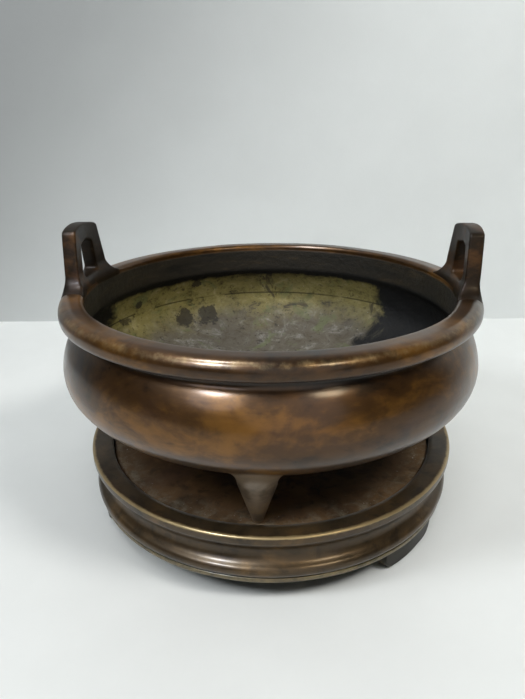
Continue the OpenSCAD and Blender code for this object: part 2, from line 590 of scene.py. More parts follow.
@dataclass(frozen=True)
class Patina(Finish):
    """Waxed brown patina on cast bronze, mottled, rubbed through to amber metal in places."""

    shade: Colour = srgb(30, 19, 7)
    middle: Colour = srgb(70, 46, 18)
    amber: Colour = srgb(118, 80, 29)
    bare: Colour = srgb(166, 146, 106)
    grime: Colour = srgb(38, 32, 22)
    violet: Colour = srgb(74, 56, 52)
    metal: float = 0.56
    gloss: float = 0.33
    wax: float = 0.4
    wax_gloss: float = 0.17
    patch: float = 34.0
    lean: float = 0.5
    contrast: float = 0.24
    grain: float = 0.05
    rub: float = 0.6
    shine: float = 0.3

    def mottled(self, wiring: Wiring) -> tuple[Socket, Socket]:
        """Mottles the bronze from its shade to its amber.

        Args:
            wiring: The material.

        Returns:
            Colour and roughness.
        """
        drawn = wiring.stretched(1.0, 1.0, 1.9)
        slow = wiring.cloud(self.patch, 5.0, 0.58, 0.6, drawn)
        quick = wiring.cloud(self.patch / 4.5, 5.0, 0.6, 0.4, drawn)
        mottle = wiring.math("ADD", wiring.math("MULTIPLY", slow, 0.72),
                             wiring.math("MULTIPLY", quick, 0.28))
        mottle = wiring.rise(mottle, self.lean - self.contrast, self.lean + self.contrast)
        colour = wiring.ramp(mottle, [(0.0, self.shade), (0.45, self.middle), (1.0, self.amber)])
        violet = wiring.rise(wiring.cloud(self.patch * 0.7, 3.0, 0.5, 0.3), 0.56, 0.7, 0.0, 0.2)
        colour = wiring.mix(violet, colour, self.violet)
        specks = wiring.rise(wiring.cloud(1.2, 4.0, 0.7), 0.64, 0.76, 0.0, 0.35)
        colour = wiring.mix(specks, colour, self.shade)
        rough = wiring.math("ADD", wiring.math("MULTIPLY", quick, 0.22), self.gloss - 0.11)
        rough = wiring.math("ADD", rough, wiring.math("MULTIPLY", specks, 0.18))
        return colour, rough

    def rubbed(self, wiring: Wiring, colour: Socket) -> Socket:
        """Shows bare metal where the piece is marked as worn.

        Args:
            wiring: The material.
            colour: Colour of the patina.

        Returns:
            The colour with wear.
        """
        ragged = wiring.math("ADD", wiring.mark("wear"),
                             wiring.math("MULTIPLY", wiring.cloud(3.5, 5.0, 0.65), 0.9))
        share = wiring.rise(ragged, 0.75, 1.35, 0.0, self.rub)
        return wiring.mix(share, colour, self.bare)

    def wire(self, wiring: Wiring) -> None:
        """Adds the patina's nodes.

        Args:
            wiring: The material.
        """
        colour, rough = self.mottled(wiring)
        colour = self.rubbed(wiring, colour)
        wiring.set(Base_Color=colour, Metallic=self.metal, Roughness=rough,
                   Coat_Weight=self.wax, Coat_Roughness=self.wax_gloss,
                   Specular_IOR_Level=self.shine)
        self.relief(wiring)

    def relief(self, wiring: Wiring) -> None:
        """Adds casting grain, dents and turned polishing lines to the surface.

        Args:
            wiring: The material.
        """
        lines = wiring.cloud(60.0, 4.0, 0.7, 0.0, wiring.stretched(1.0, 1.0, 60.0))
        wiring.bump([
            (wiring.cloud(9.0, 3.0, 0.5), self.grain * 2.2),
            (wiring.cloud(0.9, 4.0, 0.6), self.grain * 0.35),
            (lines, self.grain * 0.5),
        ])


@dataclass(frozen=True)
class BowlPatina(Patina):
    """The bowl's patina outside with a painted shadow band under the lip, and green crust and grey
    ash inside, set in dark soot that is partly painted shadow.
    """

    # Near-black of soot, also the colour of painted shadow inside the bowl and under the lip.
    soot_and_shade: Colour = srgb(6, 5, 3)
    soot_and_shade_brown: Colour = srgb(18, 15, 9)
    crust: Colour = srgb(136, 126, 72)
    crust_light: Colour = srgb(162, 152, 106)
    ash: Colour = srgb(92, 86, 74)
    ash_light: Colour = srgb(140, 138, 132)
    ash_line: float = 67.0
    # Height of the painted shadow band round the neck under the lip.
    lip_shadow_z: float = 86.8
    lumps: tuple[tuple[Vec3, float], ...] = (
        ((-49.9, 58.6, 58.1), 6.0), ((-38.9, 65.2, 57.2), 6.4),
        ((-44.4, 64.4, 76.3), 3.4), ((-69.4, 39.7, 70.8), 2.6))
    # Bounds of the crust patch. They follow where the rim and throat cast shadow, so the dark beyond
    # them is partly painted shadow.
    patch_middle: float = 17.0
    patch_half: float = 59.0
    patch_top: float = 78.2
    floor_r: float = 55.0
    near_y: float = -41.0
    neck_z: float = 82.0
    ash_top: float = 58.0
    lip_shadow_half: float = 1.4
    lip_shadow_soft: float = 1.8
    burnt_colour: Colour = srgb(44, 38, 34)
    lump_colour: Colour = srgb(36, 32, 28)
    pit_colour: Colour = srgb(34, 28, 18)
    fleck: Colour = srgb(214, 212, 200)
    verdigris: Colour = srgb(96, 104, 66)

    def wire(self, wiring: Wiring) -> None:
        """Adds the nodes of both sides of the bowl.

        Args:
            wiring: The material.
        """
        outer, rough = self.mottled(wiring)
        outer = self.rubbed(wiring, outer)
        # Painted shadow: a dark band round the neck just under the lip, standing in for the shade
        # that the lip's overhang casts there.
        lip_shadow = wiring.band(wiring.z, self.lip_shadow_z * MM, self.lip_shadow_half * MM,
                             self.lip_shadow_soft * MM)
        outer = wiring.mix(wiring.math("MULTIPLY", lip_shadow, 0.8), outer, self.soot_and_shade)
        lining = wiring.mark("lining")
        inside = wiring.rise(lining, 0.05, 0.6)
        # The crust patch is partly real crust and partly a painted lit patch. Round it the dark is
        # partly soot and partly painted shadow of the rim on the side walls.
        turn = wiring.math("ARCTAN2", wiring.math("MULTIPLY", wiring.x, -1.0), wiring.y)
        ragged = wiring.cloud(14.0, 5.0, 0.65, 0.5)
        fray = wiring.math("MULTIPLY", wiring.math("SUBTRACT", ragged, 0.5), 0.5)
        away = wiring.math("ABSOLUTE", wiring.math("SUBTRACT", turn, math.radians(self.patch_middle)))
        away = wiring.math("ADD", away, fray)
        half = math.radians(self.patch_half)
        reach = wiring.rise(away, half - 0.06, half + 0.06, 1.0, 0.0)
        # Painted shadow of the near rim on the floor: the floor stays light only away from the front.
        floor = wiring.rise(wiring.radius, (self.floor_r - 7) * MM, (self.floor_r + 7) * MM, 1.0, 0.0)
        near = wiring.rise(wiring.math("ADD", wiring.y, wiring.math("MULTIPLY", fray, 0.03)),
                           (self.near_y - 11) * MM, (self.near_y + 11) * MM)
        reach = wiring.math("MAXIMUM", reach, wiring.math("MULTIPLY", floor, near))
        # Painted shadow under the throat's overhang: the wall above the patch's top stays dark.
        lid = wiring.math("ADD", wiring.z, wiring.math("MULTIPLY", fray, 0.012))
        lid = wiring.rise(lid, (self.patch_top - 1) * MM, (self.patch_top + 1) * MM, 1.0, 0.0)
        reach = wiring.math("MULTIPLY", reach, lid)
        colour = self.inside_colour(wiring)
        # Dark soot that partly stands in for painted shadow.
        soot_and_shade = wiring.mix(wiring.rise(wiring.cloud(11.0, 6.0, 0.7), 0.45, 0.68), self.soot_and_shade,
                          self.soot_and_shade_brown)
        colour = wiring.mix(reach, soot_and_shade, colour)
        throat = wiring.ramp(wiring.cloud(30.0, 6.0, 0.7, 0.3, wiring.stretched(1.0, 1.0, 5.0)),
                             [(0.3, srgb(24, 22, 16)), (0.55, srgb(40, 35, 25)),
                              (0.75, srgb(70, 58, 38))])
        neck = wiring.rise(wiring.z, (self.neck_z - 1.5) * MM, (self.neck_z + 1.5) * MM)
        colour = wiring.mix(neck, colour, throat)
        colour = wiring.mix(inside, outer, colour)
        wiped = wiring.math("SUBTRACT", 1.0, wiring.math("MULTIPLY", neck, 0.25))
        dull = wiring.math("MULTIPLY", inside, wiped)
        metal = wiring.math("SUBTRACT", self.metal, wiring.math("MULTIPLY", dull, self.metal))
        coat = wiring.math("MULTIPLY", wiring.math("SUBTRACT", 1.0, dull), self.wax)
        inner_rough = wiring.math("ADD", 0.5, wiring.math("MULTIPLY", ragged, 0.5))
        polished = wiring.math("MULTIPLY", rough, wiring.math("SUBTRACT", 1.0, dull))
        rough = wiring.math("ADD", wiring.math("MULTIPLY", inner_rough, dull), polished)
        wiring.set(Base_Color=colour, Metallic=metal, Coat_Weight=coat,
                   Coat_Roughness=self.wax_gloss, Specular_IOR_Level=self.shine, Roughness=rough)
        self.relief_both(wiring, dull)

    def inside_colour(self, wiring: Wiring) -> Socket:
        """Green crust on the wall that turns to grey ash on the floor, with dark burnt spots.

        Args:
            wiring: The material.

        Returns:
            The colour.
        """
        streak = wiring.cloud(11.0, 9.0, 0.82, 0.2, wiring.stretched(1.0, 1.0, 1.6))
        wall = wiring.ramp(streak, [(0.32, srgb(50, 44, 24)), (0.5, self.crust),
                                    (0.68, self.crust_light)])
        floor = wiring.ramp(wiring.cloud(9.0, 8.0, 0.75, 0.5),
                            [(0.3, srgb(74, 66, 52)), (0.5, self.ash), (0.72, self.ash_light)])
        deep = wiring.math("ADD", wiring.z, wiring.math("MULTIPLY", wiring.math(
            "SUBTRACT", wiring.cloud(20.0, 4.0, 0.6), 0.5), 0.02))
        edge = wiring.rise(deep, (self.ash_top - 8) * MM, (self.ash_top + 8) * MM)
        colour = wiring.mix(edge, floor, wall)
        green = wiring.rise(wiring.cloud(12.0, 4.0, 0.6, 0.8), 0.55, 0.68, 0.0, 0.6)
        colour = wiring.mix(green, colour, self.verdigris)
        line = wiring.band(wiring.z, self.ash_line * MM, 0.00015, 0.0004)
        line = wiring.math("MULTIPLY", line, wiring.rise(wiring.cloud(18.0, 3.0), 0.4, 0.5))
        colour = wiring.mix(wiring.math("MULTIPLY", line, 0.7), colour, self.soot_and_shade)
        pits = wiring.rise(wiring.cloud(2.2, 5.0, 0.7), 0.55, 0.7, 0.0, 0.8)
        colour = wiring.mix(pits, colour, self.pit_colour)
        burnt = wiring.rise(wiring.cloud(17.0, 4.0, 0.55, 0.7), 0.62, 0.68, 0.0, 0.75)
        colour = wiring.mix(burnt, colour, self.burnt_colour)
        for middle, radius in self.lumps:
            colour = wiring.mix(self.lump(wiring, middle, radius), colour, self.lump_colour)
        bright = wiring.rise(wiring.cloud(1.3, 3.0, 0.6), 0.7, 0.78, 0.0, 0.7)
        return wiring.mix(bright, colour, self.fleck)

    @staticmethod
    def lump(wiring: Wiring, middle: Vec3, radius: float) -> Socket:
        """A ragged dark lump of burnt ash.

        Args:
            wiring: The material.
            middle: Middle of the lump in millimetres.
            radius: Its radius in millimetres.

        Returns:
            1 on the lump and 0 off it.
        """
        made = wiring.tree.nodes.new("ShaderNodeVectorMath")
        made.operation = "DISTANCE"
        wiring.put(made.inputs[0], wiring.place)
        made.inputs[1].default_value = [v * MM for v in middle]
        ragged = wiring.math("SUBTRACT", wiring.cloud(5.0, 5.0, 0.65), 0.5)
        away = wiring.math("ADD", made.outputs["Value"], wiring.math("MULTIPLY", ragged, 0.014))
        return wiring.rise(away, radius * 0.75 * MM, radius * MM, 0.8, 0.0)

    def relief_both(self, wiring: Wiring, dull: Socket) -> None:
        """Adds a polished casting outside and rough crust inside.

        Args:
            wiring: The material.
            dull: 1 where the metal is crusted and 0 where it is polished.
        """
        lines = wiring.cloud(60.0, 4.0, 0.7, 0.0, wiring.stretched(1.0, 1.0, 60.0))
        crumbs = wiring.math("MULTIPLY", wiring.cloud(2.6, 7.0, 0.72), dull)
        wiring.bump([
            (wiring.cloud(9.0, 3.0, 0.5), self.grain * 2.2),
            (lines, self.grain * 0.5),
            (crumbs, 0.7),
        ])


@dataclass(frozen=True)
class StandPatina(Patina):
    """Darker, duller patina of the stand, golden along the rubbed edge and dusty in hollows."""

    dust: Colour = srgb(116, 108, 92)
    pale_speck: Colour = srgb(196, 194, 184)
    dust_ring: float = 0.0

    def wire(self, wiring: Wiring) -> None:
        """Adds the stand's nodes.

        Args:
            wiring: The material.
        """
        colour, rough = self.mottled(wiring)
        grime = wiring.rise(wiring.cloud(7.0, 6.0, 0.7, 0.5), 0.5, 0.66, 0.0, 0.6)
        colour = wiring.mix(grime, colour, self.grime)
        colour = self.rubbed(wiring, colour)
        metal: Input = self.metal
        if self.dust_ring:
            out = wiring.rise(wiring.radius, (self.dust_ring - 14) * MM, self.dust_ring * MM)
            powder = wiring.rise(wiring.cloud(6.0, 7.0, 0.75, 0.4), 0.42, 0.7)
            share = wiring.math("MULTIPLY", out, wiring.math("ADD", powder, 0.12), clamp=True)
            share = wiring.math("MULTIPLY", share, 0.75)
            colour = wiring.mix(share, colour, self.dust)
            specks = wiring.rise(wiring.cloud(1.1, 3.0, 0.6), 0.68, 0.76)
            specks = wiring.math("MULTIPLY", specks, out)
            colour = wiring.mix(specks, colour, self.pale_speck)
            rough = wiring.math("ADD", rough, wiring.math("MULTIPLY", share, 0.5))
            metal = wiring.math("SUBTRACT", self.metal, wiring.math("MULTIPLY", share, self.metal))
        wiring.set(Base_Color=colour, Metallic=metal, Roughness=rough,
                   Coat_Weight=self.wax, Coat_Roughness=self.wax_gloss,
                   Specular_IOR_Level=self.shine)
        self.relief(wiring)


@dataclass(frozen=True)
class Plain(Finish):
    """A quiet surface for the table and the wall behind."""

    colour: Colour = (0.8, 0.8, 0.8)
    gloss: float = 0.5
    grain: float = 0.0
    # Darkest share of the painted shade towards the upper left; 1 leaves it out.
    painted_falloff: float = 1.0

    def wire(self, wiring: Wiring) -> None:
        """Adds a faint grain to a plain colour, and where asked a painted shade that darkens it
        towards the upper left.

        Args:
            wiring: The material.
        """
        tone = wiring.rise(wiring.cloud(60.0, 6.0, 0.6), 0.35, 0.65, 0.97, 1.0)
        colour = wiring.mix(1.0, self.colour, tone, "MULTIPLY")
        # Painted shade: the colour darkens towards the upper left, standing in for light falling off
        # there.
        if self.painted_falloff < 1:
            across = wiring.math("SUBTRACT", wiring.x, wiring.math("MULTIPLY", wiring.z, 0.9))
            painted_falloff = wiring.rise(across, -0.42, -0.05, self.painted_falloff, 1.0)
            colour = wiring.mix(1.0, colour, painted_falloff, "MULTIPLY")
        wiring.set(Base_Color=colour, Roughness=self.gloss)
        if self.grain:
            wiring.bump([(wiring.cloud(0.8, 3.0, 0.6), self.grain)])


@dataclass(frozen=True)
class OneSided(Plain):
    """A plain surface that shows only from its front, so that it never hides the object."""

    def wire(self, wiring: Wiring) -> None:
        """Adds the plain surface, clear from behind.

        Args:
            wiring: The material.
        """
        super().wire(wiring)
        clear = wiring.node("ShaderNodeBsdfTransparent")
        mixed = wiring.node("ShaderNodeMixShader")
        side = wiring.node("ShaderNodeNewGeometry")
        output = wiring.tree.nodes["Material Output"]
        wiring.put(mixed.inputs[0], side.outputs["Backfacing"])
        wiring.put(mixed.inputs[1], wiring.shader.outputs["BSDF"])
        wiring.put(mixed.inputs[2], clear.outputs["BSDF"])
        wiring.put(output.inputs["Surface"], mixed.outputs["Shader"])


BOWL_FINISH = BowlPatina("bowl_patina")
HANDLE_FINISH = Patina("handle_patina", shade=srgb(19, 14, 8), middle=srgb(33, 24, 14),
                        amber=srgb(74, 50, 26), patch=20.0, wax=0.04, metal=0.2, gloss=0.42,
                        shine=0.12)
LEG_FINISH = Patina("leg_patina", shade=srgb(70, 59, 46), middle=srgb(114, 98, 80),
                    amber=srgb(134, 112, 86), patch=18.0, metal=0.3, gloss=0.42)
STAND_FINISH = StandPatina("stand_patina", shade=srgb(38, 31, 19), middle=srgb(70, 56, 37),
                           amber=srgb(98, 76, 47), metal=0.5, patch=26.0, rub=0.8, wax=0.25)
DECK_FINISH = StandPatina("deck_patina", shade=srgb(48, 34, 20), middle=srgb(78, 57, 35),
                          amber=srgb(104, 77, 48), gloss=0.65, wax=0.0, metal=0.1,
                          shine=0.12, dust_ring=70.0)
BASE_FINISH = StandPatina("base_ring_patina", shade=srgb(38, 36, 26), middle=srgb(68, 64, 49),
                          amber=srgb(92, 86, 64), gloss=0.44, wax=0.4)
BRACKET_FINISH = StandPatina("bracket_patina", shade=srgb(20, 19, 14), middle=srgb(32, 30, 22),
                             amber=srgb(44, 41, 30), gloss=0.5, wax=0.1, metal=0.4)
TABLE_FINISH = Plain("table_top", colour=srgb(227, 230, 228), gloss=0.45, grain=0.02)
# The wall carries a painted shade, darker towards its upper left.
WALL_FINISH = OneSided("wall_paint", colour=srgb(226, 230, 229), gloss=0.7, grain=0.06,
                       painted_falloff=0.36)


# ---------------------------------------------------------------- sub-assemblies


@dataclass
class Stand:
    """Round stand: moulded ring with its flange, deck plate, base ring and bracket feet."""

    flange_r: float = 79.0
    flange_top: float = 29.7
    flange_low: float = 26.3
    recess_r: float = 70.4
    recess_z: float = 28.4
    deck_r: float = 70.0
    deck_z: float = 26.7
    deck_t: float = 2.0
    ledge_w: float = 4.5
    ledge_t: float = 2.4
    base_z: float = 11.1
    bulge: tuple[float, float, float] = (75.92, 13.53, 2.58)
    cove: tuple[float, float, float] = (79.34, 19.97, 4.71)
    slope: float = 62.0
    base_r: float = 77.7
    base_w: float = 11.0
    base_low: float = 9.2
    foot_r: float = 76.4
    foot_t: float = 5.0
    foot_corner: float = 5.06
    foot_span: float = 24.0
    foot_turns: dict[str, float] = field(default_factory=lambda: {
        "right_bracket": -40.0, "rear_bracket": 80.0, "left_bracket": 200.0})

    def ring_section(self) -> list[Point]:
        """Draws the closed section of the moulded ring.

        Returns:
            Radius and height of each point.
        """
        bx, bz, br = self.bulge
        cx, cz, cr = self.cove
        hollow = self.flange_low - cz
        hx = cx - cr + hollow
        soft = 0.7
        end = math.degrees(math.acos((self.flange_r - soft - hx) / hollow))
        start = -math.degrees(math.asin((bz - self.base_z) / br))
        under = self.deck_z - self.deck_t
        outer = [*arc(bx, bz, br, start, self.slope, 16),
                 *arc(cx, cz, cr, self.slope + 180, 180, 9)[1:],
                 *arc(hx, cz, hollow, 174, end, 11)]
        edge = [*arc(self.flange_r - soft, self.flange_low + soft, soft, -80, 0, 4),
                *arc(self.flange_r - soft, self.flange_top - soft, soft, 0, 90, 6)]
        shelf = [(self.recess_r + 0.5, self.recess_z + 0.06), (self.recess_r, self.recess_z - 0.4),
                 (self.recess_r, under), (self.recess_r - self.ledge_w, under),
                 (self.recess_r - self.ledge_w, under - self.ledge_t),
                 (self.recess_r, under - self.ledge_t), (self.recess_r, self.base_z)]
        flat = spaced([edge[-1], shelf[0]], 1.6)[1:-1]
        foot = spaced([(self.recess_r, self.base_z), outer[0]], 2.0)[1:-1]
        return [*outer, *edge, *flat, *shelf, *foot]

    def build_ring(self) -> None:
        """Builds the moulded ring."""
        def wear(p: Point) -> float:
            """Worn along the flange's upper edge."""
            return smooth_step(p[0], self.flange_r - 1.3, self.flange_r - 0.5) * smooth_step(
                p[1], self.flange_top - 1.0, self.flange_top - 0.3)

        def push(place: Vector, _: float) -> float:
            """Hand-finished unevenness."""
            return wobble(place, 22.0, 0.12)

        turned("moulded_ring", self.ring_section(), 288, True, wear=wear, push=push).build(
            STAND_FINISH, Body.STAND, "stand_bronze", ["stand_ring"], 40)

    def build_deck(self) -> None:
        """Builds the deck plate with its eased edge."""
        top, low = self.deck_z, self.deck_z - self.deck_t
        edge = arc(self.deck_r - 0.4, top - 0.4, 0.4, 90, 0, 3)
        section = [(0.0, top), *spaced([(3.0, top), edge[0]], 3.0)[:-1], *edge,
                   *spaced([(self.deck_r, low), (5.0, low)], 8.0), (0.0, low)]

        def push(place: Vector, _: float) -> float:
            """The plate isn't quite flat."""
            return wobble(place, 30.0, 0.1)

        turned("deck", section, 192, False, push=push).build(
            DECK_FINISH, Body.STAND, "deck_bronze", ["deck_plate"], 40)

    def build_base(self) -> None:
        """Builds the flat ring under the moulding."""
        low, high, r = self.base_low, self.base_z, self.base_r
        section = [*arc(r - 0.5, low + 0.5, 0.5, -90, 0, 4), *arc(r - 0.5, high - 0.5, 0.5, 0, 90, 4),
                   (r - self.base_w, high), (r - self.base_w, low)]

        def wear(p: Point) -> float:
            """Scuffed along the outer face."""
            return 0.55 if p[0] > self.base_r - 0.3 else 0.0

        turned("base_band", section, 240, True, wear=wear,
               push=lambda p, _: wobble(p, 18.0, 0.1)).build(
            BASE_FINISH, Body.STAND, "base_bronze", ["base_ring"], 40)

    def foot_low(self, across: float, half: float) -> float:
        """Finds the height of a foot's lower edge.

        Args:
            across: Distance from the middle of the foot.
            half: Half of the foot's width.

        Returns:
            The height there.
        """
        inset = abs(across) - (half - self.foot_corner)
        if inset <= 0:
            return 0.0
        return self.foot_corner - math.sqrt(max(0.0, self.foot_corner ** 2 - inset ** 2))

    def build_foot(self, node: str, turn: float) -> None:
        """Builds one bracket foot, curved with the stand and rounded at its lower corners.

        Args:
            node: The CAD node it stands for.
            turn: Its direction in degrees from +X.
        """
        half = self.foot_r * math.sin(math.radians(self.foot_span / 2))
        span, rise, deep = 44, 8, 3
        skin = Skin(node.replace("bracket", "foot"))
        grid: dict[tuple[int, int, int], int] = {}
        soft = 0.7
        for i in range(span + 1):
            across = -half * math.cos(math.pi * i / span)
            low = self.foot_low(across, half)
            for j in range(rise + 1):
                z = low + (self.base_low - low) * j / rise
                for k in range(deep + 1):
                    if 0 < i < span and 0 < j < rise and 0 < k < deep:
                        continue
                    r = self.foot_r - self.foot_t * k / deep
                    if j == 0 and k == 0:
                        r -= soft
                    place = Vector((math.sqrt(r * r - across * across), across, z))
                    place.x += wobble(place + Vector((turn, 0, 0)), 9.0, 0.15) if k == 0 else 0.0
                    place.rotate(Matrix.Rotation(math.radians(turn), 3, "Z"))
                    grid[i, j, k] = skin.corner(place, 0.5 if j == 0 else 0.0)
        faces = []
        for i in range(span):
            for j in range(rise):
                for k in (0, deep):
                    faces.append([(i, j, k), (i + 1, j, k), (i + 1, j + 1, k), (i, j + 1, k)])
            for k in range(deep):
                for j in (0, rise):
                    faces.append([(i, j, k), (i + 1, j, k), (i + 1, j, k + 1), (i, j, k + 1)])
        for j in range(rise):
            for k in range(deep):
                for i in (0, span):
                    faces.append([(i, j, k), (i, j + 1, k), (i, j + 1, k + 1), (i, j, k + 1)])
        skin.faces = [tuple(grid[key] for key in face) for face in faces]
        made = skin.build(BRACKET_FINISH, Body.STAND, "bracket_bronze", [node], 30)
        settle_normals(made)
        soften(made, 0.5)

    def build(self) -> None:
        """Builds every piece of the stand."""
        self.build_ring()
        self.build_deck()
        self.build_base()
        for node, turn in self.foot_turns.items():
            self.build_foot(node, turn)


def settle_normals(made: bpy.types.Object) -> None:
    """Turns every face of a closed piece outward.

    Args:
        made: The piece.
    """
    work = bmesh.new()
    work.from_mesh(made.data)
    bmesh.ops.recalc_face_normals(work, faces=work.faces)
    work.to_mesh(made.data)
    work.free()


def soften(made: bpy.types.Object, width: float) -> None:
    """Rounds the sharp edges of a piece.

    Args:
        made: The piece.
        width: Width of the rounding in millimetres.
    """
    bevel = made.modifiers.new("soft_edges", "BEVEL")
    bevel.width, bevel.segments = width * MM, 3
    bevel.limit_method, bevel.angle_limit = "ANGLE", math.radians(40)


@dataclass
class Bowl:
    """Squat round bowl with a heavy rounded lip, hollow inside and closed."""

    low_z: float = 36.9
    belly: Point = (85.2, 67.8)
    lower_fullness: float = 2.17
    shoulder_fullness: float = 1.71
    shoulder_end: Point = (74.0, 86.3)
    neck_r: float = 78.0
    rim_z: float = 95.2
    roll: tuple[float, float, float] = (80.0, 91.0, 4.2)
    lip_low: float = 88.2
    lip_under: float = 1.4
    throat_r: float = 74.6
    lip_soft: float = 1.3
    inner: Point = (80.4, 66.3)
    inner_end: Point = (74.1, 81.0)
    inner_z: float = 41.7

    def under(self, r: float) -> float:
        """Finds the height of the bowl's underside.

        Args:
            r: Distance from the bowl's axis.

        Returns:
            The height there.
        """
        wide, height = self.belly
        share = (1 - (r / wide) ** self.lower_fullness) ** (1 / self.lower_fullness)
        return height - (height - self.low_z) * share

    def lip_top(self, r: float) -> float:
        """Finds the height of the lip's upper surface.

        Args:
            r: Distance from the bowl's axis.

        Returns:
            The height there.
        """
        x, z, radius = self.roll
        if r <= x:
            return self.rim_z
        return min(self.rim_z, z + math.sqrt(max(0.0, radius ** 2 - (r - x) ** 2)))

    def outside(self) -> list[Point]:
        """Draws the section from the middle of the underside to the top of the throat.

        Returns:
            Radius and height of each point.
        """
        x, z, radius = self.roll
        lower = rounded_quarter(self.belly, (0.0, self.low_z), self.lower_fullness, 90)[::-1]
        shoulder = rounded_quarter(self.belly, self.shoulder_end, self.shoulder_fullness, 60)
        shoulder = [p for p in shoulder if p[0] > self.neck_r]
        under = self.lip_under
        soft_x, soft_z = self.throat_r + self.lip_soft, self.rim_z - self.lip_soft
        body = spaced(lower, 2.2)
        neck = spaced([*shoulder, (self.neck_r, shoulder[-1][1] + 0.5),
                       (self.neck_r, self.lip_low),
                       *arc(x + radius - under, self.lip_low + under, under, -90, 0, 10),
                       *arc(x, z, radius, 0, 90, 24),
                       *arc(soft_x, soft_z, self.lip_soft, 90, 180, 8)], 0.5)
        neck = eased(neck, 5, keep=lambda p: p[1] < 74)
        return [*body, *neck[1:]]

    def inside(self) -> list[Point]:
        """Draws the section from the throat down to the middle of the floor.

        Returns:
            Radius and height of each point.
        """
        shoulder = rounded_quarter(self.inner, self.inner_end, self.shoulder_fullness, 60)[::-1]
        shoulder = [p for p in shoulder if p[0] > self.throat_r]
        lower = rounded_quarter(self.inner, (0.0, self.inner_z), self.lower_fullness, 90)
        throat = (self.throat_r, self.rim_z - self.lip_soft)
        upper = eased(spaced([throat, (self.throat_r, 90.0), *shoulder], 0.9), 3)
        return [*upper, *spaced(lower, 2.0)[1:]]

    def build(self) -> None:
        """Builds the bowl with its lining marked."""
        outside, inside = self.outside(), self.inside()
        section = [*outside, *inside[1:]]
        section[0] = (0.0, section[0][1])
        section[-1] = (0.0, section[-1][1])
        lining = [0.0] * len(outside) + [
            smooth_step(self.rim_z - z, 1.5, 5.0) for _, z in inside[1:]]

        def wear(p: Point) -> float:
            """Rubbed on the crest of the lip."""
            crest = smooth_step(p[1], 90.5, 94.0) * smooth_step(p[0], 80.0, 83.0)
            return 0.5 * crest

        def push(place: Vector, lined: float) -> float:
            """Finds how far the casting's unevenness and the crust stand out.

            Args:
                place: Where, in millimetres.
                lined: How far it belongs to the inside.

            Returns:
                The distance in millimetres.
            """
            slow = wobble(place, 34.0, 0.22)
            if place.z < 80 and lined > 0.9:
                lumps = noise.fractal(place / 7.0, 1.0, 2.0, 4)
                slow += 0.3 * max(-0.4, lumps) * smooth_step(80 - place.z, 0.0, 3.0)
            return slow * smooth_step(place.xy.length, 0.0, 12.0)

        turned("bowl_body", section, 288, False, wear=wear, lining=lining, push=push).build(
            BOWL_FINISH, Body.CENSER, "bowl_bronze", ["bowl"], 60)


